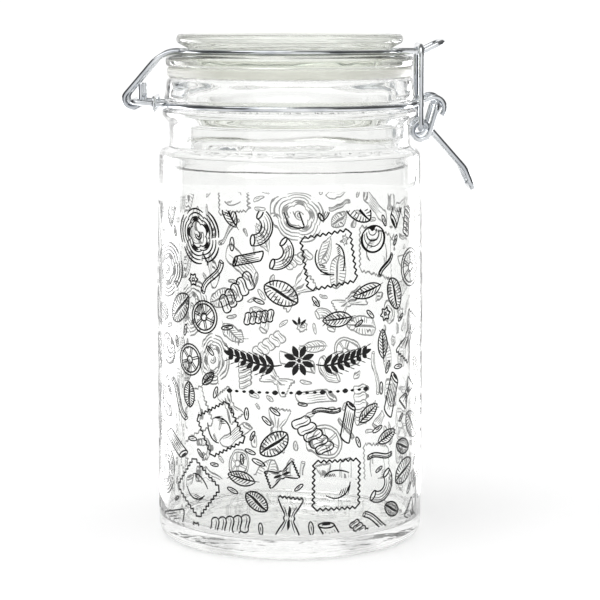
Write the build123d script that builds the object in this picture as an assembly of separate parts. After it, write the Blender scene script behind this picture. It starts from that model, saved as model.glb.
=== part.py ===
"""Clip-top glass storage canister: jar, lid, gasket and four bent-wire fittings with their tie.

Frame: the origin is the centre of the jar's resting ring, +Z is up, +X points to the latch and
-X to the hinge. All sizes are in millimetres. Every wire fitting is symmetric about the XZ plane,
so each is drawn as its -Y half and mirrored.
"""
from build123d import *
from math import asin, cos, degrees, hypot, radians, sin, tan
import os

# --- glass: radii and heights -------------------------------------------------------------
BODY_R = 52.5            # outside of the wall, below the taper
SHOULDER_R = 51.3        # outside of the wall at the shoulder
TAPER_Z = 100.0          # the wall starts to lean in above this height
SHOULDER_Z = 153.3       # top outer corner of the shoulder
RECESS_R = 47.3          # waist between the shoulder and the bead
RECESS_Z = 154.7
BEAD_R = 50.0            # bead under the neck band
BEAD_Z = (167.0, 169.0)
BEAD_FLARE = 3.4         # height over which the waist flares out to the bead
BAND_SEAT_R = 47.8       # floor of the groove that the neck band sits in
NECK_R = 49.3            # widest part of the neck, just above the groove
LIP_R = 48.0
LIP_Z = 181.6            # top of the lip
MOUTH_R = 42.2           # clear radius of the mouth
INNER_SHOULDER_Z = (146.0, 159.4)   # the inside narrows to the mouth between these heights
WALL = 3.2
BASE_Z = 7.0             # inside face of the base
PUNT_Z = 2.2             # the underside is hollowed by this much
RING_R = (44.6, 48.0)    # flat ring that the jar stands on
HEEL_FILLET = 4.5

FLANGE_R = 48.6          # lid flange, which holds the gasket down
FLANGE_Z = (185.6, 189.4)
BOSS_R = 39.6            # waist of the lid, where the lid bail lies
BOSS_Z = (190.5, 192.7)
DISC_R = 44.9            # top disc of the lid
DISC_Z = 195.3           # height where its rounded edge is widest
LID_TOP_Z = 198.4
LID_DISH_Z = 196.8       # middle of the lid's shallow top dish
LID_RIB_R = (36.8, 40.4)  # rib under the lid, which centres it in the mouth
LID_RIB_Z = 179.8
LID_CEILING_Z = 192.6    # inside face of the lid

GASKET_R = (40.9, 48.0)
GASKET_Z = (181.65, 185.6)

# --- wires: diameters and routes ----------------------------------------------------------
WIRE_D = 2.1
TIE_D = 1.4
SIDE_GAP = 0.3           # play between wires that pass side by side

HINGE_X, HINGE_Z = -61.0, 172.25
BAIL_ARM_Y = 9.5         # rear arms of the lid bail
BAIL_RING_R = 43.0
BAIL_Z = 191.6
CURL_R = 3.2             # curl of the lid bail round the hinge bar
CURL_PLAY = 0.05
TAIL_Z = 179.0
ARM_SLOPE = 49.4         # degrees, rise of the rear arms
TONGUE_Y = 13.0
TONGUE_BEND_X, TONGUE_TIP_X = 51.5, 59.0
TONGUE_SLOPE = 26.0      # degrees

BAND_RING_R = 48.9
BAND_Z = 171.0
BAND_ARM_Y = 12.8        # rear arms of the neck band
HOOK_Y = 13.6
HOOK_X, HOOK_Z = 55.8, 170.15
HOOK_R = 4.0

TIE_X, TIE_Z = -52.6, 171.45
TIE_HALF_HEIGHT = 2.4

LEVER_X, LEVER_Z = 57.1, 171.3       # lever pivot, in the hooks
COIL_X, COIL_Z = 50.8, 161.2
COIL_R = 3.2
LEVER_ARM_Y = HOOK_Y + WIRE_D + SIDE_GAP
HANDLE_SLOPE = 48.5                  # degrees below level
HANDLE_BEND_X = 67.9
HANDLE_TIP_X, HANDLE_TIP_Z = 71.3, 138.5

LINK_X, LINK_Z = 50.6, 162.1         # link pivot, in the lever's coils
LINK_Y = LEVER_ARM_Y + WIRE_D + SIDE_GAP
LINK_TOP_X = 50.5
LINK_TOP_Z = BAIL_Z + WIRE_D + 0.05  # the bar lies on the tongue

STUB_END = 1.6           # wire ends pass the wire that they hang in by this much, to its axis
NEGLIGIBLE = 0.1         # a straight run shorter than this becomes part of the next bend


def rounded_path(corners):
    """A wire through straight runs and tangent round bends. A corner is (point, bend radius)."""
    points = [Vector(*point) for point, _ in corners]
    edges, at = [], points[0]
    for n in range(1, len(points) - 1):
        corner = points[n]
        come = (corner - points[n - 1]).normalized()
        go = (points[n + 1] - corner).normalized()
        half_turn = radians(come.get_angle(go)) / 2
        room = (corner - at).length
        reach = corners[n][1] * tan(half_turn)
        if room - reach < NEGLIGIBLE:
            reach = room
        else:
            edges.append(Edge.make_line(at, corner - come * reach))
        start, end = corner - come * reach, corner + go * reach
        inward = (go - come).normalized()
        radius = reach / tan(half_turn)
        middle = corner + inward * (radius / cos(half_turn) - radius)
        edges.append(Edge.make_three_point_arc(start, middle, end))
        at = end
    edges.append(Edge.make_line(at, points[-1]))
    return Wire(edges)


def turned(outline):
    """A solid of revolution about Z. An outline point is (radius, height, corner radius)."""
    path = rounded_path([((r, 0, z), corner) for r, z, corner in outline])
    first, last = path @ 0, path @ 1
    edges = list(path.edges())
    if (first - last).length > NEGLIGIBLE:
        edges.append(Edge.make_line(last, first))
    return revolve(Face(Wire(edges)), Axis.Z)


def ring_corners(radius, z, start, end, count):
    """Corners of a bend of the given radius about the Z axis, at the -Y side, in degrees."""
    step = (end - start) / count
    outer = radius / cos(radians(step) / 2)
    angles = [radians(start + step * (n + 0.5)) for n in range(count)]
    return [((outer * cos(a), outer * sin(a), z), radius) for a in angles]


def side_corners(centre, radius, start, end, count, y):
    """Corners of a bend about a Y line through centre (x, z), with y going from y[0] to y[1]."""
    step = (end - start) / count
    outer = radius / cos(radians(step) / 2)
    corners = []
    for n in range(count):
        share = (n + 0.5) / count
        a = radians(start + (end - start) * share)
        point = (centre[0] + outer * cos(a), y[0] + (y[1] - y[0]) * share, centre[1] + outer * sin(a))
        corners.append((point, radius))
    return corners


def leave_ring(radius, z, angle, y):
    """Where the line that touches the ring at angle meets the plane at y."""
    a = radians(angle)
    run = (y - radius * sin(a)) / cos(a)
    return (radius * cos(a) - run * sin(a), y, z)


def both_sides(half):
    """A route's -Y half, followed by its mirror image in reverse."""
    return half + [((x, -y, z), bend) for (x, y, z), bend in reversed(half)]


def bent_wire(corners, diameter=WIRE_D):
    """A round wire along a rounded path, with square-cut ends."""
    path = rounded_path(corners)
    section = Plane(origin=path @ 0, z_dir=path % 0) * Circle(diameter / 2)
    return sweep(section, path=path)


def jar_body():
    """Glass jar: straight wall, shoulder, waist, bead, band groove, flared neck and open mouth."""
    inner_r, inner_top_r = BODY_R - WALL, SHOULDER_R - WALL
    outside = [
        (0, PUNT_Z, 0),
        (RING_R[0] - 3.2, PUNT_Z - 0.5, 6),
        (RING_R[0], 0, 0.9),
        (BODY_R, 0, HEEL_FILLET),
        (BODY_R, TAPER_Z, 800),
        (SHOULDER_R, SHOULDER_Z, 3.4),
        (RECESS_R, RECESS_Z, 1.1),
        (RECESS_R, BEAD_Z[0] - BEAD_FLARE, 3.0),
        (BEAD_R, BEAD_Z[0], 2.0),
        (BEAD_R, BEAD_Z[1], 1.2),
        (BAND_SEAT_R, BEAD_Z[1] + 0.9, 0.5),
        (BAND_SEAT_R, BEAD_Z[1] + 3.1, 0.5),
        (NECK_R, BEAD_Z[1] + 4.0, 0.9),
        (NECK_R - 0.6, LIP_Z - 5.0, 20),
        (LIP_R, LIP_Z, 1.6),
    ]
    inside = [
        (MOUTH_R, LIP_Z, 1.4),
        (MOUTH_R, INNER_SHOULDER_Z[1], 20),
        (inner_top_r + 0.4, INNER_SHOULDER_Z[0], 30),
        (inner_r, TAPER_Z, 500),
        (inner_r, BASE_Z, 6.5),
        (0, BASE_Z - 0.6, 0),
    ]
    return turned(outside + inside)


def lid():
    """Glass lid: dished top disc, waist for the bail, flange over the gasket and a centring rib."""
    outside = [
        (0, LID_DISH_Z, 0),
        (BOSS_R - 4, LID_DISH_Z + 0.3, 9),
        (BOSS_R, LID_TOP_Z, 4),
        (DISC_R - 1.1, LID_TOP_Z, 1.6),
        (DISC_R, DISC_Z, 1.9),
        (BOSS_R, BOSS_Z[1], 0.7),
        (BOSS_R, BOSS_Z[0], 0.6),
        (FLANGE_R - 4, BOSS_Z[0] - 0.2, 6),
        (FLANGE_R, FLANGE_Z[1], 1.6),
        (FLANGE_R, FLANGE_Z[0], 1.4),
    ]
    inside = [
        (LID_RIB_R[1], FLANGE_Z[0], 0.3),
        (LID_RIB_R[1] - 0.5, LID_RIB_Z, 0.9),
        (LID_RIB_R[0], LID_RIB_Z, 0.9),
        (LID_RIB_R[0] - 1.4, LID_CEILING_Z, 5),
        (0, LID_CEILING_Z - 0.4, 0),
    ]
    return turned(outside + inside)


def gasket():
    """Flat seal between the flange and the lip, with rounded outer corners."""
    middle = sum(GASKET_R) / 2
    return turned([
        (middle, GASKET_Z[0], 0),
        (GASKET_R[1], GASKET_Z[0], 0.9),
        (GASKET_R[1], GASKET_Z[1], 0.5),
        (GASKET_R[0], GASKET_Z[1], 0.4),
        (GASKET_R[0], GASKET_Z[0], 0.4),
        (middle, GASKET_Z[0], 0),
    ])


def lid_bail():
    """Wire round the lid's waist: a tongue for the latch in front, two arms curled round the hinge."""
    curl_z = HINGE_Z + CURL_R - WIRE_D - CURL_PLAY
    y = -BAIL_ARM_Y
    curl_end = ARM_SLOPE + 90 - 360
    top = radians(curl_end)
    arm_rise = BAIL_Z - (curl_z + CURL_R * sin(top))
    arm_top_x = HINGE_X + CURL_R * cos(top) + arm_rise / tan(radians(ARM_SLOPE))
    tip_z = BAIL_Z + (TONGUE_TIP_X - TONGUE_BEND_X) * tan(radians(TONGUE_SLOPE))
    rear, front = 198, 336
    half = [((HINGE_X + CURL_R, y, TAIL_Z), 0)]
    half += side_corners((HINGE_X, curl_z), CURL_R, 0, curl_end, 4, (y, y))
    half += [((arm_top_x, y, BAIL_Z), 14), (leave_ring(BAIL_RING_R, BAIL_Z, rear, y), 4)]
    half += ring_corners(BAIL_RING_R, BAIL_Z, rear, front, 6)
    half += [
        (leave_ring(BAIL_RING_R, BAIL_Z, front, -TONGUE_Y), 5),
        ((TONGUE_BEND_X, -TONGUE_Y, BAIL_Z), 4),
        ((TONGUE_TIP_X, -TONGUE_Y, tip_z), 3),
    ]
    return bent_wire(both_sides(half))


def neck_band():
    """Wire round the neck: a hook each side of the latch, and a loop behind whose end is the hinge."""
    rear, front = 200, 338
    arm = leave_ring(BAND_RING_R, BAND_Z, front, -HOOK_Y)
    away = hypot(arm[0] - HOOK_X, arm[2] - HOOK_Z)
    bearing = 180 - degrees(asin((arm[2] - HOOK_Z) / away))
    hook_start = bearing - (90 - degrees(asin(HOOK_R / away)))
    hook_end = -35
    hook = side_corners((HOOK_X, HOOK_Z), HOOK_R, hook_end, hook_start, 3, (-HOOK_Y, -HOOK_Y))
    end = radians(hook_end)
    tip = (
        HOOK_X + HOOK_R * cos(end) + 0.6 * sin(end),
        -HOOK_Y,
        HOOK_Z + HOOK_R * sin(end) - 0.6 * cos(end),
    )
    half = [(tip, 0)] + hook + [(arm, 4.5)]
    half += reversed(ring_corners(BAND_RING_R, BAND_Z, rear, front, 6))
    half += [
        (leave_ring(BAND_RING_R, BAND_Z, rear, -BAND_ARM_Y), 4),
        ((HINGE_X, -BAND_ARM_Y, HINGE_Z), 2.2),
    ]
    return bent_wire(both_sides(half))


def band_tie():
    """Closed oval of thinner wire that draws the band's two rear arms together."""
    outer_y = BAND_ARM_Y + (WIRE_D + TIE_D) / 2 + 0.02
    low, high = TIE_Z - TIE_HALF_HEIGHT, TIE_Z + TIE_HALF_HEIGHT
    bend = TIE_HALF_HEIGHT - 0.2
    return bent_wire(
        [
            ((TIE_X, 0, low), 0),
            ((TIE_X, outer_y, low), bend),
            ((TIE_X, outer_y, high), bend),
            ((TIE_X, -outer_y, high), bend),
            ((TIE_X, -outer_y, low), bend),
            ((TIE_X, 0, low), 0),
        ],
        TIE_D,
    )


def latch_link():
    """Bail that pulls the tongue down: a top bar and two legs whose feet turn in through the coils."""
    foot_y = LEVER_ARM_Y - (WIRE_D + SIDE_GAP) - STUB_END
    half = [
        ((LINK_X, -foot_y, LINK_Z), 0),
        ((LINK_X, -LINK_Y, LINK_Z), 2.0),
        ((LINK_TOP_X, -LINK_Y, LINK_TOP_Z), 4.0),
    ]
    return bent_wire(both_sides(half))


def latch_lever():
    """Over-centre lever: stubs in the hooks, an arm and a coil each side, and a looped handle."""
    away = hypot(LEVER_X - COIL_X, LEVER_Z - COIL_Z)
    bearing = degrees(asin((LEVER_Z - COIL_Z) / away))
    coil_start = bearing - (90 - degrees(asin(COIL_R / away)))
    coil_end = 90 - HANDLE_SLOPE - 360
    handle_y = -LEVER_ARM_Y + WIRE_D + SIDE_GAP
    end = radians(coil_end)
    bend_z = COIL_Z + COIL_R * sin(end) - (
        (HANDLE_BEND_X - COIL_X - COIL_R * cos(end)) * tan(radians(HANDLE_SLOPE))
    )
    half = [
        ((LEVER_X, STUB_END - HOOK_Y, LEVER_Z), 0),
        ((LEVER_X, -LEVER_ARM_Y, LEVER_Z), 1.9),
    ]
    half += side_corners((COIL_X, COIL_Z), COIL_R, coil_start, coil_end, 6, (-LEVER_ARM_Y, handle_y))
    half += [
        ((HANDLE_BEND_X, handle_y, bend_z), 8),
        ((HANDLE_TIP_X, handle_y, HANDLE_TIP_Z), 3.5),
    ]
    return bent_wire(both_sides(half))


PARTS = {
    "jar_body": jar_body,
    "lid": lid,
    "gasket": gasket,
    "lid_bail": lid_bail,
    "neck_band": neck_band,
    "band_tie": band_tie,
    "latch_link": latch_link,
    "latch_lever": latch_lever,
}

os.makedirs("parts", exist_ok=True)
for name, make in PARTS.items():
    export_step(make(), f"parts/{name}.step")
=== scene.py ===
"""Looks of the clip-top glass canister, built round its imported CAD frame.

Frame: metres, +Z up, the jar's axis is Z, the latch is at +X and the side in view is -Y.
Outlines and print are drawn in millimetres, and MM turns them into metres.
"""

import math
import random

import bpy
import numpy as np
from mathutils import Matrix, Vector


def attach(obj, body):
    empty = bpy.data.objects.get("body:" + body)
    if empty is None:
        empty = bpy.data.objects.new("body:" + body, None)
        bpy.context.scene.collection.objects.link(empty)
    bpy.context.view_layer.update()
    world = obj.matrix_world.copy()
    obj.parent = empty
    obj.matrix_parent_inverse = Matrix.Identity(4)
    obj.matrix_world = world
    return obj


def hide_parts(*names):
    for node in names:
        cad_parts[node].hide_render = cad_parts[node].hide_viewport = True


MM = 0.001
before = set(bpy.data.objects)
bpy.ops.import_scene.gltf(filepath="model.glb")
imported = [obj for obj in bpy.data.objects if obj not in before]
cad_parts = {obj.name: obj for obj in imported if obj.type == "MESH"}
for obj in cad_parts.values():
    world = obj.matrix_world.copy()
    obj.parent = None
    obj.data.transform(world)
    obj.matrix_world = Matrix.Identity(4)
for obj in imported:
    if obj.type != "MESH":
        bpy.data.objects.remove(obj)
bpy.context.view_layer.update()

# --- outlines: (radius, height, corner radius) in mm, from the axis out, up, in and down -----------
JAR_OUTSIDE = [
    (0, 2.2, 0), (41.4, 1.7, 6), (44.6, 0, 0.9), (52.5, 0, 4.5), (52.5, 100, 800),
    (51.3, 153.3, 3.4), (47.3, 154.7, 1.1), (47.3, 163.6, 3), (50, 167, 2), (50, 169, 1.2),
    (47.8, 169.9, 0.5), (47.8, 172.1, 0.5), (49.3, 173, 0.9), (48.7, 176.6, 20), (48, 181.6, 1.6),
]
JAR_INSIDE = [
    (42.2, 181.6, 1.4), (42.2, 159.4, 20), (48.5, 146, 30), (49.3, 100, 500), (49.3, 7, 6.5), (0, 6.4, 0),
]
LID_OUTSIDE = [
    (0, 196.8, 0), (35.6, 197.1, 9), (39.6, 198.4, 4), (43.8, 198.4, 1.6), (44.9, 195.3, 1.9),
    (39.6, 192.7, 0.7), (39.6, 190.5, 0.6), (44.6, 190.3, 6), (48.6, 189.4, 1.6), (48.6, 185.6, 1.4),
]
LID_INSIDE = [
    (40.4, 185.6, 0.3), (39.9, 179.8, 0.9), (36.8, 179.8, 0.9), (35.4, 192.6, 5), (0, 192.2, 0),
]
SEAL_OUTLINE = [
    (44.4, 181.65, 0), (48, 181.65, 1.3), (48, 183.45, 0.1), (48.12, 183.6, 0.1), (48, 183.75, 0.1),
    (48, 185.6, 1.1), (40.9, 185.6, 0.4), (40.9, 181.65, 0.4), (44.4, 181.65, 0),
]

# --- marks of making on the glass, in mm -----------------------------------------------------------
SEAM_ANGLE = math.radians(38)    # the mould's two seams are here and half a turn round
SEAM_HEIGHT, SEAM_WIDTH = 0.06, 0.5
SEAM_TOP = 168                   # the seams fade out under the band groove
DIMPLES = 80                     # shallow dimples round the ring that the jar stands on
DIMPLE_DEPTH, DIMPLE_R, DIMPLE_WIDTH = 0.3, 46.3, 0.9

# --- line print, in mm -----------------------------------------------------------------------------
BOLD, LINE, FINE = 1.15, 0.62, 0.40     # stroke widths
PRINT_SEED = 4
PRINT_TURN = math.radians(4)     # the print is turned this much towards the latch
PRINT_R = 52.5                   # radius that print distances are measured round at
PRINT_V = (10.5, 133.5)          # the print's lowest and highest lines
PRINT_TOP = 0.05                 # how far the enamel stands out of the wall, and how deep it goes in
PRINT_STEP = 0.8                 # longest piece of a stroke
WALL_LEAST_R, HEEL_TOP = 50, 4   # outline points wider and higher than these are the wall's
ORNAMENT_V = 77.5                # height of the ornament's middle
CLEAR = ((31.0, (62.5, 87.5)), (4.0, (87.0, 96.0)))   # half width and heights of the clear band in front

# --- studio ----------------------------------------------------------------------------------------
# How bright the dark parts of the room look in reflections and through glass, and the backdrop.
MIRRORED, THROUGH_GLASS, BACKDROP = 0.20, 0.74, 1.06
SOFTBOX_FROM, SOFTBOX_STRENGTH, SOFTBOX_ANGLE = (-0.45, -0.5, 1.0), 1.1, math.radians(50)
FLOOR_R, FLOOR_TONE = 14, 0.84
# Curved cards round the jar that only reflections see. Each has its first and last angle in degrees
# from the camera's side, positive towards the latch, its tone, its glow and the angle over which the
# glow rises, and its outline as (radius, height) in metres. The bright ones veil the jar's edges.
UPRIGHT = ((0.7, 0.0), (0.7, 0.8))
FROM_FLOOR = ((0.09, 0.001), (0.45, 0.001), (0.45, 0.2))
CARDS = (
    ("dark_card_by_latch", 38, 120, 0.09, 0, 0, UPRIGHT),
    ("dark_card_by_hinge", -38, -104, 0.09, 0, 0, UPRIGHT),
    ("bright_card_by_latch", 121, 150, 0.13, 6.0, 1, FROM_FLOOR),
    ("bright_card_by_hinge", -100, -140, 0.13, 6.0, -14, FROM_FLOOR),
)
CARD_COLUMNS = 24

# --- camera, in metres and degrees -----------------------------------------------------------------
CAMERA_AT = (0.004, -0.818, 0.206)
CAMERA_TILT = 7.85               # how far it looks down
CAMERA_LENS = 124.5
CAMERA_REACH = 60


# --- helpers for node materials --------------------------------------------------------------------
def feed(tree, node, inputs):
    """Sets a node's inputs, each to a value or from another node's output."""
    for key, value in dict(inputs).items():
        if isinstance(value, bpy.types.NodeSocket):
            tree.links.new(value, node.inputs[key])
        else:
            node.inputs[key].default_value = value


def adder(tree):
    """A function that adds a node to a tree."""
    def add(kind, inputs=(), **settings):
        node = tree.nodes.new(kind)
        for key, value in settings.items():
            setattr(node, key, value)
        feed(tree, node, inputs)
        return node

    return add


def material(name):
    """A new node material and a function that adds a node to it."""
    made = bpy.data.materials.new(name)
    made.use_nodes = True
    return made, adder(made.node_tree)


def shade(made, inputs):
    """Sets the inputs of a material's Principled shader."""
    feed(made.node_tree, made.node_tree.nodes["Principled BSDF"], inputs)


def ramp_between(add, factor, low, high, start, end):
    """Maps factor from start..end onto low..high."""
    return add("ShaderNodeMapRange", {
        "Value": factor, "From Min": start, "From Max": end, "To Min": low, "To Max": high,
    }).outputs["Result"]


def colour_ramp(add, factor, start, low, end, high):
    """Blends from colour low where factor is start to colour high where it is end."""
    node = add("ShaderNodeValToRGB", {"Fac": factor})
    for stop, place, colour in zip(node.color_ramp.elements, (start, end), (low, high)):
        stop.position = place
        stop.color = (*colour, 1)
    return node.outputs["Color"]


# --- materials -------------------------------------------------------------------------------------
def glass(name, tint, seed, streak):
    """Clear pressed glass: a faint tint, with mould streaks and ripples in its surface."""
    made, add = material(name)
    where = add("ShaderNodeTexCoord").outputs["Object"]
    stretched = add("ShaderNodeMapping", {"Vector": where, "Scale": streak}).outputs["Vector"]
    ripple = add("ShaderNodeTexNoise", {"Vector": stretched, "Scale": 1.0, "Detail": 2.0, "W": seed},
                 noise_dimensions="4D").outputs["Fac"]
    bump = add("ShaderNodeBump", {"Height": ripple, "Strength": 0.35, "Distance": 0.0006})
    shade(made, {
        "Base Color": (*tint, 1),
        "Transmission Weight": 1.0,
        "Roughness": 0.0,
        "IOR": 1.51,
        "Normal": bump.outputs["Normal"],
    })
    return made


def zinc_wire():
    """Drawn steel wire with bright zinc plating: soft mottling, dull patches and fine pits."""
    made, add = material("zinc_plated_wire")
    where = add("ShaderNodeTexCoord").outputs["Object"]
    mottle = add("ShaderNodeTexNoise", {"Vector": where, "Scale": 260.0, "Detail": 4.0}).outputs["Fac"]
    patches = add("ShaderNodeTexNoise", {"Vector": where, "Scale": 70.0, "Detail": 2.0}).outputs["Fac"]
    pits = add("ShaderNodeTexVoronoi", {"Vector": where, "Scale": 1500.0}).outputs["Distance"]
    coarse = add("ShaderNodeBump", {"Height": mottle, "Strength": 0.25, "Distance": 0.00008})
    fine = add("ShaderNodeBump", {
        "Height": pits, "Strength": 0.2, "Distance": 0.00003, "Normal": coarse.outputs["Normal"],
    })
    shade(made, {
        "Metallic": 1.0,
        "Base Color": colour_ramp(add, patches, 0.35, (0.42, 0.44, 0.47), 0.62, (0.76, 0.78, 0.80)),
        "Roughness": ramp_between(add, mottle, low=0.06, high=0.20, start=0.3, end=0.7),
        "Normal": fine.outputs["Normal"],
    })
    return made


def silicone():
    """Pale translucent seal with faint cloudiness."""
    made, add = material("pale_silicone")
    where = add("ShaderNodeTexCoord").outputs["Object"]
    cloud = add("ShaderNodeTexNoise", {"Vector": where, "Scale": 90.0, "Detail": 3.0}).outputs["Fac"]
    bump = add("ShaderNodeBump", {"Height": cloud, "Strength": 0.3, "Distance": 0.0001})
    shade(made, {
        "Transmission Weight": 0.7,
        "IOR": 1.41,
        "Base Color": colour_ramp(add, cloud, 0.3, (0.84, 0.84, 0.79), 0.7, (0.93, 0.93, 0.89)),
        "Roughness": ramp_between(add, cloud, low=0.28, high=0.42, start=0.3, end=0.7),
        "Normal": bump.outputs["Normal"],
    })
    return made


def enamel(name, dark, light):
    """Fired enamel: slightly glossy, a little uneven where the screen laid it."""
    made, add = material(name)
    where = add("ShaderNodeTexCoord").outputs["Object"]
    grit = add("ShaderNodeTexNoise", {"Vector": where, "Scale": 1800.0, "Detail": 3.0}).outputs["Fac"]
    shade(made, {
        "Base Color": colour_ramp(add, grit, 0.0, (dark, dark, dark), 1.0, (light, light, light)),
        "Roughness": ramp_between(add, grit, low=0.12, high=0.3, start=0.3, end=0.7),
        "Specular IOR Level": 0.2,
    })
    return made


# --- lathe -----------------------------------------------------------------------------------------
def rounded(outline, spacing, arc_step=9.0):
    """Points along an outline: straight runs cut to the spacing, and corners as tangent arcs."""
    points = [np.array(outline[0][:2], float)]

    def run_to(target):
        start = points[-1]
        count = max(1, math.ceil(np.linalg.norm(target - start) / spacing))
        points.extend(start + (target - start) * (k + 1) / count for k in range(count))

    for before, at, after in zip(outline, outline[1:], outline[2:]):
        corner = np.array(at[:2], float)
        come = corner - np.array(before[:2], float)
        go = np.array(after[:2], float) - corner
        come, go = come / np.linalg.norm(come), go / np.linalg.norm(go)
        turn = math.atan2(come[0] * go[1] - come[1] * go[0], come @ go)
        reach = at[2] * math.tan(abs(turn) / 2)
        start = corner - come * reach
        run_to(start)
        side = math.copysign(1, turn)
        centre = start + side * at[2] * np.array([-come[1], come[0]])
        arm = start - centre
        steps = max(2, math.ceil(abs(math.degrees(turn)) / arc_step), math.ceil(2 * reach / spacing))
        for k in range(1, steps + 1):
            angle = turn * k / steps
            points.append(centre + np.array([
                arm[0] * math.cos(angle) - arm[1] * math.sin(angle),
                arm[0] * math.sin(angle) + arm[1] * math.cos(angle),
            ]))
    run_to(np.array(outline[-1][:2], float))
    return np.array(points)


def new_object(name, verts, faces):
    """A mesh object in the scene."""
    mesh = bpy.data.meshes.new(name)
    mesh.from_pydata([tuple(v) for v in verts], [], faces)
    mesh.update()
    made = bpy.data.objects.new(name, mesh)
    bpy.context.scene.collection.objects.link(made)
    return made


def smooth_object(name, verts, faces):
    """A smooth-shaded mesh object whose faces look outwards."""
    made = new_object(name, verts, faces)
    a, b, c = (np.array(verts)[[f[k] for f in faces]] for k in range(3))
    if np.sum(a * np.cross(b, c)) < 0:
        made.data.flip_normals()
    made.data.polygons.foreach_set("use_smooth", [True] * len(faces))
    return made


def lathe(name, points, segments, shift, closed=False):
    """A mesh turned about Z from (r, z) points in mm. shift(angle, r, z) gives how far each vertex
    stands off along the outline's outward normal, in mm. A closed outline is a ring with no poles."""
    if closed:
        points = points[:-1]
        along = np.roll(points, -1, 0) - np.roll(points, 1, 0)
    else:
        along = np.gradient(points, axis=0)
    along /= np.linalg.norm(along, axis=1)[:, None]
    normal = np.c_[along[:, 1], -along[:, 0]]
    angle = np.arange(segments) * 2 * math.pi / segments
    r, z = (np.repeat(points[:, k:k + 1], segments, 1) for k in (0, 1))
    away = shift(np.broadcast_to(angle, r.shape), r, z)
    r, z = r + away * normal[:, :1], z + away * normal[:, 1:]
    grid = np.stack([r * np.cos(angle), r * np.sin(angle), z], 2)
    rows = len(points)
    first, last = (0, rows) if closed else (1, rows - 1)
    verts = grid[first:last].reshape(-1, 3)
    count = last - first
    faces = []
    for i in range(count if closed else count - 1):
        low, high = i * segments, (i + 1) % count * segments
        for j in range(segments):
            k = (j + 1) % segments
            faces.append((low + j, low + k, high + k, high + j))
    if not closed:
        start, end = len(verts), len(verts) + 1
        verts = np.vstack([verts, (0, 0, z[0].mean()), (0, 0, z[-1].mean())])
        top = (count - 1) * segments
        for j in range(segments):
            k = (j + 1) % segments
            faces.append((start, k, j))
            faces.append((end, top + j, top + k))
    return smooth_object(name, verts * MM, faces)


def waves(seed, count, around, along, height):
    """A smooth random relief of angle and height: a sum of waves that close round the axis. Each
    has a whole number of crests around, and a length along the axis, from the ranges given."""
    rng = random.Random(seed)
    terms = [
        (rng.randint(*around), 2 * math.pi / rng.uniform(*along) * rng.choice((-1, 1)),
         rng.uniform(0, 2 * math.pi), rng.uniform(0.5, 1))
        for _ in range(count)
    ]
    size = height / math.sqrt(count)

    def relief(angle, z):
        return size * sum(a * np.cos(n * angle + k * z + p) for n, k, p, a in terms)

    return relief


def smooth(low, high, x):
    """Rises from 0 at low to 1 at high, level at both ends."""
    t = np.clip((x - low) / (high - low), 0, 1)
    return t * t * (3 - 2 * t)


def from_row(first, points):
    """1 for each outline point from number first on, which are the inside's, and 0 before it."""
    return (np.arange(len(points)) >= first).astype(float)[:, None]


# --- glass pieces and seal -------------------------------------------------------------------------
def glass_jar():
    """The jar: wavy inside wall as blown glass has, mould seams, and dimples on the resting ring."""
    points = rounded(JAR_OUTSIDE + JAR_INSIDE, spacing=1.5)
    inside = from_row(np.argmax(points[:, 1]), points)
    top = JAR_INSIDE[0][1]
    body = waves(seed=5, count=9, around=(2, 7), along=(60, 160), height=0.16)
    streaks = waves(seed=8, count=10, around=(6, 18), along=(90, 300), height=0.05)
    neck = waves(seed=13, count=12, around=(2, 6), along=(9, 26), height=0.10)

    def shift(angle, r, z):
        # The inside's waves die out towards the lip and the middle of the base.
        wall = (body(angle, z) + streaks(angle, z)) * (smooth(0, 5, top - z) * smooth(0, 20, r))
        at_neck = smooth(140, 150, z) * smooth(0, 5, top - z)
        seam_gap = np.abs((angle - SEAM_ANGLE + math.pi / 2) % math.pi - math.pi / 2) * r
        seam = SEAM_HEIGHT * np.exp(-(seam_gap / SEAM_WIDTH) ** 2)
        seam = seam * smooth(3, 8, z) * smooth(0, 4, SEAM_TOP - z)
        ring = np.exp(-((r - DIMPLE_R) / DIMPLE_WIDTH) ** 2) * (z < 0.01)
        dimples = -DIMPLE_DEPTH * (0.5 + 0.5 * np.cos(DIMPLES * angle)) * ring
        return inside * (wall + neck(angle, z) * at_neck) + (1 - inside) * (seam + dimples)

    jar = lathe("glass_jar", points, segments=480, shift=shift)
    clear = glass("jar_glass", tint=(0.986, 0.990, 0.982), seed=3.0, streak=(90, 90, 14))
    jar.data.materials.append(clear)
    return jar


def glass_lid():
    """The lid: pressed glass with a slightly uneven underside."""
    points = rounded(LID_OUTSIDE + LID_INSIDE, spacing=1.2)
    inside = from_row(np.argmin(points[:, 1]), points)
    under = waves(seed=21, count=12, around=(2, 6), along=(14, 40), height=0.07)

    def shift(angle, r, z):
        return inside * under(angle, z + r) * smooth(4, 25, r)

    lid = lathe("glass_lid", points, segments=360, shift=shift)
    greenish = glass("lid_glass", tint=(0.880, 0.898, 0.845), seed=9.0, streak=(60, 60, 60))
    lid.data.materials.append(greenish)
    return lid


def seal_ring():
    """The gasket: soft corners and a fine parting line round its outer edge."""
    sag = waves(seed=31, count=6, around=(2, 9), along=(30, 60), height=0.05)

    def shift(angle, r, z):
        return sag(angle, z) * smooth(46, 47.5, r)

    points = rounded(SEAL_OUTLINE, spacing=0.8)
    ring = lathe("seal_ring", points, segments=240, shift=shift, closed=True)
    ring.data.materials.append(silicone())
    return ring


# --- strokes ---------------------------------------------------------------------------------------
# A stroke is (points, width in mm, how much its ends taper from 0 to 1). Motifs are drawn about
# their middles in millimetres.
def line(*points, width=LINE, taper=0.35):
    return (np.array(points, float), width, taper)


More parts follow.
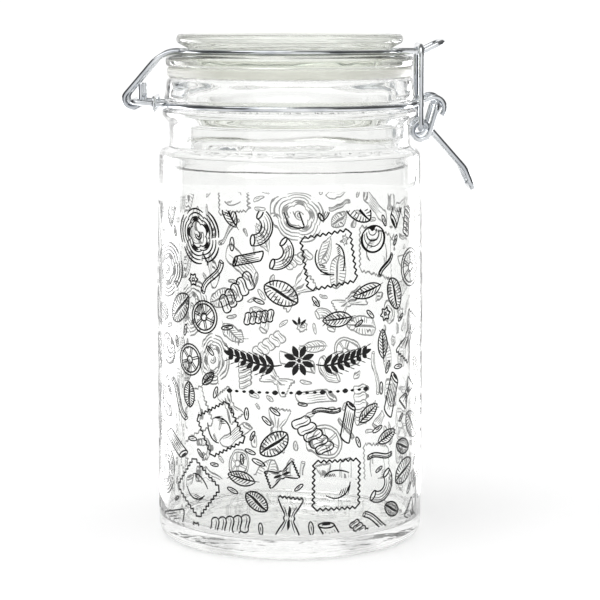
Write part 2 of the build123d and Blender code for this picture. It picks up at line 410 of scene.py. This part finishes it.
def arc(cx, cy, rx, ry, start, end, width=LINE, taper=0.35):
    """Part of an ellipse, from angle start to angle end in degrees."""
    a = np.radians(np.linspace(start, end, max(5, int(abs(end - start) * max(rx, ry) / 40))))
    return (np.c_[cx + rx * np.cos(a), cy + ry * np.sin(a)], width, taper)


def ring(cx, cy, rx, ry, width=LINE):
    return arc(cx, cy, rx, ry, 0, 360, width, 0)


def curve(a, b, c, d, width=LINE, taper=0.35):
    """A cubic bend from a to d with handles b and c."""
    t = np.linspace(0, 1, 14)[:, None]
    a, b, c, d = (np.array(p, float) for p in (a, b, c, d))
    points = (1 - t) ** 3 * a + 3 * t * (1 - t) ** 2 * b + 3 * t * t * (1 - t) * c + t ** 3 * d
    return (points, width, taper)


def zigzag(a, b, teeth, height, width=LINE):
    """A toothed edge from a to b."""
    a, b = np.array(a, float), np.array(b, float)
    out = np.array([b[1] - a[1], a[0] - b[0]]) / np.linalg.norm(b - a)
    t = np.linspace(0, 1, 2 * teeth + 1)[:, None]
    bumps = (np.arange(2 * teeth + 1) % 2)[:, None]
    return (a + (b - a) * t + out * height * bumps, width, 0)


def petal(root, tip, width):
    """A filled leaf shape from root to tip."""
    root, tip = np.array(root, float), np.array(tip, float)
    return (root + (tip - root) * np.linspace(0, 1, 7)[:, None], width, 1)


# --- motifs ----------------------------------------------------------------------------------------
def bow_tie(rng):
    """A pinched square with toothed ends."""
    strokes = [curve((-1.1, -0.6), (-0.4, 0.4), (0.4, 0.4), (1.1, -0.6), FINE, 0.6)]
    for s in (-1, 1):
        strokes.append(zigzag((s * 7.2, -4.7), (s * 7.5, 4.7), 6, s * 0.9))
        for k in (-1, 1):
            side = ((s * 7.2, 4.7 * k), (s * 4.4, 3.7 * k), (s * 2.2, 2.0 * k), (s * 0.9, 1.6 * k))
            strokes.append(curve(*side))
            fold_end = (s * rng.uniform(4.6, 5.8), 2.6 * k)
            strokes.append(curve((s * 0.3, 0.7 * k), (s * 2.0, 1.3 * k), (s * 3.4, 1.6 * k), fold_end,
                                 FINE, 0.9))
        strokes.append(curve((s * 0.2, 0), (s * 1.6, 0.4), (s * 2.6, -0.3), (s * 4.6, 0.2), BOLD, 1))
    for k in (-1, 1):
        strokes.append(curve((-0.9, 1.6 * k), (-0.4, 2.2 * k), (0.4, 2.2 * k), (0.9, 1.6 * k)))
    return strokes


def tube(rng):
    """A ridged tube with slanted ends."""
    half, r, lean = rng.uniform(6.4, 8.6), 2.7, 1.4
    strokes = []
    for x, rx, ry, start, end, width, taper in (
        (-half, 1.2, r, 0, 360, LINE, 0),
        (-half - 0.1, 0.5, r * 0.55, 100, 260, BOLD, 0.8),
        (half, 1.2, r, -90, 90, LINE, 0),
    ):
        points, _, _ = arc(x, 0, rx, ry, start, end)
        points[:, 0] += points[:, 1] * lean / r
        strokes.append((points, width, taper))
    strokes.append(line((-half + lean, r), (half + lean, r), taper=0))
    strokes.append(line((-half - lean, -r), (half - lean, -r), taper=0))
    for y in (-1.6, -0.5, 0.6, 1.7):
        start = -half + y * lean / r + 1.9 + rng.uniform(0, 1.5)
        strokes.append(line((start, y), (half - rng.uniform(0.8, 5.0), y), width=FINE, taper=0.8))
    return strokes


def elbow(rng):
    """A bent tube, open at both ends."""
    start, end = 10, rng.uniform(150, 175)
    strokes = [arc(0, -2.6, 7.4, 7.4, start, end), arc(0, -2.6, 3.2, 3.2, start, end)]
    for r in (4.4, 5.6, 6.6):
        strokes.append(arc(0, -2.6, r, r, start + 14, end - rng.uniform(10, 40), FINE, 0.8))
    for at in (start, end):
        a = math.radians(at)
        points, _, _ = ring(0, 0, 2.1, 0.9)
        turned = np.c_[points[:, 0] * math.cos(a) - points[:, 1] * math.sin(a),
                       points[:, 0] * math.sin(a) + points[:, 1] * math.cos(a)]
        strokes.append((turned + (5.3 * math.cos(a), 5.3 * math.sin(a) - 2.6), LINE, 0))
    return strokes


def shell(rng):
    """Two fluted lips that curl in towards a dark slit."""
    slit = curve((-6.4, -1.0), (-2.4, 0.9), (2.4, -0.6), (6.8, 0.9), BOLD, 0.7)
    top = curve((-6.8, -1.2), (-5.6, 5.6), (4.4, 6.2), (7.0, 1.0), taper=0)
    low = curve((-6.8, -1.2), (-4.4, -6.0), (5.4, -4.8), (7.0, 1.0), taper=0)
    strokes = [slit, top, low]
    for k in range(2, 12):
        for edge, lean in ((top, 0.3), (low, -0.3)):
            inner, outer = slit[0][k], edge[0][k]
            start = inner + (outer - inner) * 0.3
            bend = (start + outer) / 2 + ((k - 6.5) * 0.2, lean)
            strokes.append(curve(start, bend, bend, outer, FINE, 0.5))
    return strokes


def cockle(rng):
    """A round shell with ribs that follow its rim."""
    strokes = [ring(0, 0, 5.8, 5.0)]
    for k, r in enumerate((4.7, 3.7, 2.7, 1.7, 0.8)):
        width = (LINE, FINE)[k % 2]
        strokes.append(arc(0, -5 + r * 1.05, r * 1.12, r * 1.05, -30 + 6 * k, 210 - 6 * k, width, 0.4))
    strokes.append(line((-1.8, -4.6), (0, -4.0), (1.8, -4.6), width=BOLD, taper=0.9))
    return strokes


def pillow(rng):
    """A filled square with a toothed edge and a swollen middle."""
    s = rng.uniform(7.6, 9.0)
    corners = [(-s, -s), (s, -s), (s, s), (-s, s)]
    strokes = [zigzag(corners[k], corners[(k + 1) % 4], 8, 1.0) for k in range(4)]
    for swell in (
        ((-0.6, 0.35), (-0.45, 0.7), (0.1, 0.72), (0.55, 0.5)),
        ((-0.5, -0.45), (-0.1, -0.75), (0.55, -0.6), (0.62, 0.1)),
    ):
        strokes.append(curve(*((s * x, s * y) for x, y in swell)))
    for k in range(5):
        x = s * (0.1 + 0.1 * k)
        strokes.append(line((x, -s * 0.48), (x + 1.1, -s * 0.2 + 0.3 * k), width=FINE, taper=0.9))
        strokes.append(line((-x * 0.8, s * 0.36), (-x * 0.8 - 0.8, s * 0.52), width=FINE, taper=0.9))
    return strokes


def wheel(rng):
    """A rim, a hub and six spokes."""
    strokes = [ring(0, 0, 6.4, 6.4), ring(0, 0, 5.2, 5.2), ring(0, 0, 1.5, 1.5)]
    first = rng.uniform(0, 60)
    for k in range(6):
        a = math.radians(first + 60 * k)
        along, side = np.array([math.cos(a), math.sin(a)]), np.array([-math.sin(a), math.cos(a)])
        for s in (-0.42, 0.42):
            strokes.append(line(along * 1.5 + side * s, along * 5.2 + side * s, width=FINE, taper=0))
    return strokes


def nest(rng):
    """A coil of flat ribbons: fans of arcs laid round the middle, each tucked under the next."""
    strokes, first = [], rng.uniform(0, 72)
    for k in range(5):
        turn = first + 72 * k
        a = math.radians(turn)
        cx, cy = 2.4 * math.cos(a), 2.0 * math.sin(a)
        for n in range(5):
            r, reach = 2.6 + 1.45 * n, 78 - 9 * n + rng.uniform(-6, 6)
            width = (LINE, 0.8)[n == 4]
            strokes.append(arc(cx, cy, r, r * 0.86, turn - reach, turn + reach - 14, width, 0.55))
        strokes.append(arc(cx, cy, 3.3, 2.8, turn - 40, turn + 30, BOLD, 1))
    for r in (1.0, 1.9):
        strokes.append(arc(0, 0, r, r * 0.8, first, first + rng.uniform(200, 280), LINE, 0.6))
    a = math.radians(first + 110)
    x, y = 7.4 * math.cos(a), 6.4 * math.sin(a)
    for end in (-0.8, 0.9):
        tail = ((x + end, y), (x * 1.2 + end, y * 1.1), (x * 1.4, y * 1.1 - 1), (x * 1.45 + end, y * 1.3))
        strokes.append(curve(*tail))
    return strokes


def twist(rng):
    """A short corkscrew."""
    strokes, turns, pitch = [], 5, 3.1
    for k in range(turns):
        x = (k - turns / 2) * pitch
        strokes.append(curve((x, -2.3), (x + 0.5, -3.5), (x + 2.2, -3.5), (x + pitch, -2.3)))
        strokes.append(curve((x + 1.2, 2.3), (x + 1.7, 3.5), (x + 3.3, 3.5), (x + pitch + 1.2, 2.3)))
        strokes.append(curve((x, -2.3), (x - 0.5, -0.6), (x + 1.5, 0.8), (x + 1.2, 2.3)))
        strokes.append(curve((x + 1.2, -2.6), (x + 0.6, -0.6), (x + 2.4, 0.6), (x + 2.5, 2.4), FINE, 0.8))
    x = turns / 2 * pitch
    strokes.append(curve((x, -2.3), (x - 0.2, -0.6), (x + 1.5, 0.8), (x + 1.2, 2.3)))
    return strokes


def noodle(rng):
    """A long thin bent tube."""
    bend = rng.uniform(2, 4)
    path, _, _ = curve((-8, 0), (-3, bend), (3, -bend), (8, 0.6))
    along = np.gradient(path, axis=0)
    side = np.c_[-along[:, 1], along[:, 0]] / np.linalg.norm(along, axis=1)[:, None]
    ends = [ring(*path[0], 0.5, 1.0, FINE), ring(*path[-1], 0.5, 1.0, FINE)]
    return [(path + side * s, w, 0.2) for s, w in ((1.05, LINE), (-1.05, LINE), (0.2, FINE))] + ends


def leaf(rng):
    """A leaf with a stalk and slanted veins."""
    n = rng.uniform(5.5, 7)
    strokes = [curve((-n, 0), (-n / 2, s * 3.8), (n / 2, s * 3.2), (n, 0)) for s in (-1, 1)]
    strokes.append(curve((-n - 1.6, -0.6), (-n / 2, 0.2), (n / 2, -0.1), (n, 0), 0.8, 1))
    for k in range(-3, 4):
        x = k * n / 4.4
        for s in (-1, 1):
            vein = ((x, 0), (x + 0.6, s * 0.8), (x + 1.2, s * 1.4), (x + 1.9, s * 1.9))
            strokes.append(curve(*vein, FINE, 0.9))
    return strokes


def star(rng):
    """A small six-pointed star with a hole."""
    r = rng.uniform(2.5, 3.1)
    a = np.radians(90 + 30 * np.arange(13))
    size = np.where(np.arange(13) % 2, 0.62, 1) * r
    return [(np.c_[size * np.cos(a), size * np.sin(a)], LINE, 0), ring(0, 0, 0.75, 0.75, 0.5)]


def grain(rng):
    """A small oval grain."""
    n = rng.uniform(2.0, 2.6)
    return [ring(0, 0, n, n * 0.34, 0.5), petal((-n * 0.5, 0), (n * 0.4, 0.1), FINE)]


def ear_of_wheat(side):
    """Half of the ornament: a bold ear that points away from the middle, with its beard."""
    strokes = [curve((side * 6.4, -1.6), (side * 12, -3.2), (side * 18, -0.6), (side * 26, 1.6), 0.8, 0.5)]
    stem = strokes[0][0]
    for x in np.arange(9.5, 25.5, 2.65):
        y = np.interp(x, np.abs(stem[:, 0]), stem[:, 1])
        long = 5.4 - 0.11 * x
        for s in (-1, 1):
            tip = (side * (x + long * 0.72), y + s * long * 0.86 + 0.5)
            strokes.append(petal((side * x, y), tip, 1.9))
            strokes.append(line(tip, (tip[0] + side * 2.0, tip[1] + s * 0.8), width=FINE, taper=0.8))
    strokes.append(petal((side * 25.4, 1.4), (side * 29.4, 2.8), 1.8))
    return strokes


def ornament():
    """Generic ornament in the clear band: two ears, a middle flower, a sprout and a dotted rule."""
    strokes = ear_of_wheat(-1) + ear_of_wheat(1)
    for k in range(8):
        a = math.radians(45 * k + 22.5)
        out = np.array([math.cos(a), math.sin(a)])
        strokes.append(petal(out * 1.3, out * 6.0, 2.3))
    strokes.append(ring(0, 0, 0.5, 0.5, 0.9))
    for x, tip in ((-0.5, -2.6), (0, 0), (0.5, 2.6)):
        strokes.append(petal((x, 13.4), (tip, 16.6 - abs(tip) * 0.4), 1.1))
    for k in range(-9, 10):
        half, width = (0.8, 1.1) if k % 3 else (1.2, 1.9)
        strokes.append(petal((k * 3.0 - half, -12.2), (k * 3.0 + half, -12.2), width))
    return [(points + (0, ORNAMENT_V), width, taper) for points, width, taper in strokes]


# --- scatter ---------------------------------------------------------------------------------------
LARGE = [pillow, nest, pillow, bow_tie, wheel]
MIDDLE = [bow_tie, tube, elbow, shell, cockle, twist, tube, noodle, leaf, shell, bow_tie, wheel]
SMALL = [star, grain, star, grain, grain]
# Each pass: its motifs, how often it tries, its smallest and largest scale, and the gap it leaves.
PASSES = (
    (LARGE, 40, (0.95, 1.15), 1.4),
    (MIDDLE, 4000, (0.9, 1.1), 1.0),
    (MIDDLE, 3000, (0.62, 0.8), 0.9),
    (SMALL, 6000, (0.85, 1.1), 0.9),
)
CELL = 0.5                       # grid that keeps motifs apart
OVERHANG, REACH_OUT = 12, 3      # how far the grid, and the motifs' middles, pass the print's edges


def convex(points):
    """The convex hull of some points, counter-clockwise."""
    ordered = sorted(map(tuple, points))

    def half(sequence):
        hull = []
        for p in sequence:
            while len(hull) > 1 and (
                (hull[-1][0] - hull[-2][0]) * (p[1] - hull[-2][1])
                - (hull[-1][1] - hull[-2][1]) * (p[0] - hull[-2][0])
            ) <= 0:
                hull.pop()
            hull.append(p)
        return hull[:-1]

    return np.array(half(ordered) + half(ordered[::-1]))


def cells_over(values, gap, low=0.0):
    """Numbers of the grid's cells from the least value to the greatest, with a gap at each end."""
    first, last = values.min() - gap - low, values.max() + gap - low
    return np.arange(int(first // CELL), int(last // CELL) + 1)


def covered(hull, gap, across, up):
    """Which spots, at across by up from the hull's origin, lie in the hull or within gap of it."""
    spots = np.stack(np.meshgrid(across, up, indexing="ij"), 2)
    within = np.ones(spots.shape[:2], bool)
    for a, b in zip(hull, np.roll(hull, -1, 0)):
        edge = b - a
        side = edge[0] * (spots[..., 1] - a[1]) - edge[1] * (spots[..., 0] - a[0])
        within &= side > -gap * np.linalg.norm(edge)
    return within


def scatter(seed):
    """Places motifs round the jar so that none touches another, large ones first."""
    rng = random.Random(seed)
    around = 2 * math.pi * PRINT_R
    low_v, high_v = PRINT_V[0] - OVERHANG, PRINT_V[1] + OVERHANG
    columns, rows = int(around / CELL), int((high_v - low_v) / CELL)
    taken = np.zeros((columns, rows), bool)
    u_of = (np.arange(columns) + 0.5) * CELL
    v_of = low_v + (np.arange(rows) + 0.5) * CELL
    from_front = np.minimum(u_of, around - u_of)
    for reach, (low, high) in CLEAR:
        taken[np.ix_(from_front < reach, (v_of > low) & (v_of < high))] = True
    strokes = []
    for motifs, tries, scales, gap in PASSES:
        for _ in range(tries):
            u, v = rng.uniform(0, around), rng.uniform(PRINT_V[0] - REACH_OUT, PRINT_V[1] + REACH_OUT)
            if taken[int(u // CELL) % columns, int((v - low_v) // CELL)]:
                continue
            motif, turn, scale = rng.choice(motifs), rng.uniform(0, 2 * math.pi), rng.uniform(*scales)
            spin = scale * np.array([[math.cos(turn), math.sin(turn)], [-math.sin(turn), math.cos(turn)]])
            drawn = [(points @ spin, width, taper) for points, width, taper in motif(rng)]
            hull = convex(np.vstack([points for points, _, _ in drawn]))
            i = cells_over(hull[:, 0] + u, gap)
            j = cells_over(hull[:, 1] + v, gap, low_v)
            j = j[(j >= 0) & (j < rows)]
            within = covered(hull, gap, (i + 0.5) * CELL - u, v_of[j] - v)
            cells = np.ix_(i % columns, j)
            if (taken[cells] & within).any():
                continue
            taken[cells] |= within
            strokes += [(points + (u, v), width, taper) for points, width, taper in drawn]
    return strokes


# --- print layer -----------------------------------------------------------------------------------
def drawn_out(points, width, taper):
    """A stroke as a finely cut path and half widths along it, thinner towards tapered ends."""
    length = np.r_[0, np.cumsum(np.linalg.norm(np.diff(points, axis=0), axis=1))]
    at = np.linspace(0, length[-1], max(len(points), int(length[-1] / PRINT_STEP) + 2))
    if taper == 0:
        at = np.union1d(at, length)
    path = np.c_[np.interp(at, length, points[:, 0]), np.interp(at, length, points[:, 1])]
    bow = np.sin(math.pi * np.clip(at / length[-1], 0.03, 0.97)) ** 0.7
    return path, width / 2 * (1 - taper * (1 - bow))


def runs(path, half_width):
    """The stretches of a stroke that lie inside the print's height, so its edges are cut straight."""
    inside = (path[:, 1] > PRINT_V[0]) & (path[:, 1] < PRINT_V[1])
    start = None
    for n, keep in enumerate(np.r_[inside, False]):
        if keep and start is None:
            start = n
        elif not keep and start is not None:
            if n - start > 1:
                yield path[start:n], half_width[start:n]
            start = None


def ribbon(path, half_width, wall):
    """Corners, in metres, and faces of one run of a stroke, laid on the wall with both ends closed."""
    along = np.gradient(path, axis=0)
    along /= np.maximum(np.linalg.norm(along, axis=1)[:, None], 1e-9)
    side = np.c_[-along[:, 1], along[:, 0]] * half_width[:, None]
    verts = []
    for p, s in zip(path, side):
        for sign, lift in ((1, PRINT_TOP), (-1, PRINT_TOP), (-1, -PRINT_TOP), (1, -PRINT_TOP)):
            u, v = p + sign * s
            r = np.interp(v, wall[:, 1], wall[:, 0]) + lift
            a = u / PRINT_R - math.pi / 2 + PRINT_TURN
            verts.append((r * math.cos(a) * MM, r * math.sin(a) * MM, v * MM))
    last = len(verts) - 4
    faces = []
    for n in range(0, last, 4):
        for k in range(4):
            m = (k + 1) % 4
            faces.append((n + k, n + m, n + 4 + m, n + 4 + k))
    faces += [(0, 3, 2, 1), (last, last + 1, last + 2, last + 3)]
    return verts, faces


def print_layer():
    """All strokes as thin raised ribbons wrapped on the jar's outer wall. Their undersides, which show
    through the glass from behind, are paler: a painted veil in place of the glare the glass lays over
    them."""
    outline = rounded(JAR_OUTSIDE, spacing=2.0)
    wall = outline[(outline[:, 0] > WALL_LEAST_R) & (outline[:, 1] > HEEL_TOP)]
    verts, faces = [], []
    for stroke in scatter(PRINT_SEED) + ornament():
        for path, half_width in runs(*drawn_out(*stroke)):
            corners, sides = ribbon(path, half_width, wall)
            faces += [tuple(len(verts) + k for k in face) for face in sides]
            verts += corners
    layer = new_object("line_print", verts, faces)
    mesh = layer.data
    mesh.materials.append(enamel("black_enamel", dark=0.003, light=0.012))
    # painted veil: the undersides that show through the glass get pale grey enamel in place of the glare
    # on them
    mesh.materials.append(enamel("enamel_underside_painted_veil", dark=0.22, light=0.34))
    middle = np.array([p.center for p in mesh.polygons]) / MM
    wall_r = np.interp(middle[:, 2], wall[:, 1], wall[:, 0])
    under = np.hypot(middle[:, 0], middle[:, 1]) < wall_r - PRINT_TOP * 0.6
    mesh.polygons.foreach_set("material_index", under.astype(int))
    return layer


# --- studio ----------------------------------------------------------------------------------------
def room():
    """A white room with grey flags that show through glass, and dark sides for reflections."""
    world = bpy.data.worlds.new("studio")
    bpy.context.scene.world = world
    world.use_nodes = True
    world.node_tree.nodes.clear()
    add = adder(world.node_tree)

    def calc(operation, *values):
        return add("ShaderNodeMath", dict(enumerate(values)), operation=operation).outputs[0]

    def step(value, start, end, low, high):
        return add("ShaderNodeMapRange", {
            "Value": value, "From Min": start, "From Max": end, "To Min": low, "To Max": high,
        }, interpolation_type="SMOOTHSTEP").outputs["Result"]

    def mix(factor, a, b):
        return add("ShaderNodeMix", {0: factor, 2: a, 3: b}).outputs[0]

    xyz = add("ShaderNodeSeparateXYZ", {0: add("ShaderNodeTexCoord").outputs["Generated"]})
    azimuth = calc("ARCTAN2", xyz.outputs["Y"], xyz.outputs["X"])
    flags = step(calc("COSINE", calc("MULTIPLY", azimuth, 8.0)), -0.95, -0.3, 1.0, 0.0)
    sides = step(calc("COSINE", calc("MULTIPLY", azimuth, 2.0)), -0.6, -0.05, 0.0, 1.0)
    overhead = step(xyz.outputs["Z"], 0.38, 0.7, 0.0, 1.0)
    ray = add("ShaderNodeLightPath").outputs
    level = mix(calc("GREATER_THAN", ray["Transmission Depth"], 0.5),
                mix(calc("MAXIMUM", sides, overhead), 1.0, MIRRORED),
                mix(calc("MAXIMUM", flags, overhead), 1.0, THROUGH_GLASS))
    level = mix(ray["Is Diffuse Ray"], level, 1.0)
    level = mix(ray["Is Camera Ray"], level, BACKDROP)
    light = add("ShaderNodeBackground", {"Color": (1, 1, 1, 1), "Strength": level})
    add("ShaderNodeOutputWorld", {"Surface": light.outputs[0]})


def softbox():
    """Wide soft light from above, in front and a little to the hinge's side."""
    sun = bpy.data.lights.new("overhead_softbox", "SUN")
    sun.energy, sun.angle = SOFTBOX_STRENGTH, SOFTBOX_ANGLE
    holder = bpy.data.objects.new("overhead_softbox", sun)
    holder.rotation_euler = Vector(SOFTBOX_FROM).to_track_quat("Z", "Y").to_euler()
    bpy.context.scene.collection.objects.link(holder)


def pale_floor():
    """A large matt disc under the jar."""
    bpy.ops.mesh.primitive_circle_add(vertices=96, radius=FLOOR_R, fill_type="NGON", location=(0, 0, 0))
    floor = bpy.context.object
    floor.name = "floor"
    made, _ = material("pale_floor")
    shade(made, {
        "Base Color": (FLOOR_TONE, FLOOR_TONE, FLOOR_TONE, 1),
        "Roughness": 1.0,
        "Specular IOR Level": 0.0,
    })
    floor.data.materials.append(made)


def reflection_card(name, start, end, tone, glow, fade, outline):
    """One curved card that only reflections see, as listed in CARDS."""
    made, add = material(name)
    shade(made, {"Base Color": (tone, tone, tone, 1), "Roughness": 1.0})
    if glow:
        xyz = add("ShaderNodeSeparateXYZ", {0: add("ShaderNodeTexCoord").outputs["Object"]})
        turn = add("ShaderNodeMath", {0: xyz.outputs["Y"], 1: xyz.outputs["X"]}, operation="ARCTAN2")
        first = math.radians((start + 90) % 360 - 180)
        last = first + math.radians(fade)
        edge = ramp_between(add, turn.outputs[0], low=0.0, high=glow, start=first, end=last)
        shade(made, {"Emission Color": (1, 1, 1, 1), "Emission Strength": edge})
    turns = np.radians(np.linspace(start, end, CARD_COLUMNS) - 90)
    verts = [(r * math.cos(a), r * math.sin(a), z) for a in turns for r, z in outline]
    row = len(outline)
    faces = [(n, n + 1, n + row + 1, n + row) for n in range(len(verts) - row) if (n + 1) % row]
    card = smooth_object(name, verts, faces)
    card.data.materials.append(made)
    card.visible_camera = False
    card.visible_diffuse = False
    card.visible_transmission = False
    card.visible_shadow = False


def studio():
    """Plain soft light, a pale floor, and enough bounces for glass within glass."""
    scene = bpy.context.scene
    scene.view_settings.view_transform = "Standard"
    scene.cycles.max_bounces = 32
    scene.cycles.transmission_bounces = 32
    scene.cycles.glossy_bounces = 16
    room()
    softbox()
    pale_floor()
    for card in CARDS:
        reflection_card(*card)


def camera():
    """The view from just above the lid's height, looking down a little with a long lens."""
    lens = bpy.data.cameras.new("camera")
    lens.lens = CAMERA_LENS
    lens.clip_end = CAMERA_REACH
    view = bpy.data.objects.new("camera", lens)
    view.location = CAMERA_AT
    view.rotation_euler = (math.radians(90 - CAMERA_TILT), 0, 0)
    bpy.context.scene.collection.objects.link(view)
    bpy.context.scene.camera = view


# --- build -----------------------------------------------------------------------------------------
camera()
studio()

jar = glass_jar()
jar.visible_shadow = False
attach(jar, "jar")
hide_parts("jar_body")

lid = glass_lid()
lid.visible_shadow = False
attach(lid, "lid")
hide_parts("lid")

seal = seal_ring()
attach(seal, "lid")
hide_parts("gasket")

layer = print_layer()
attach(layer, "jar")

wire = zinc_wire()
for node in ("lid_bail", "neck_band", "band_tie", "latch_link", "latch_lever"):
    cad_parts[node].material_slots[0].material = wire
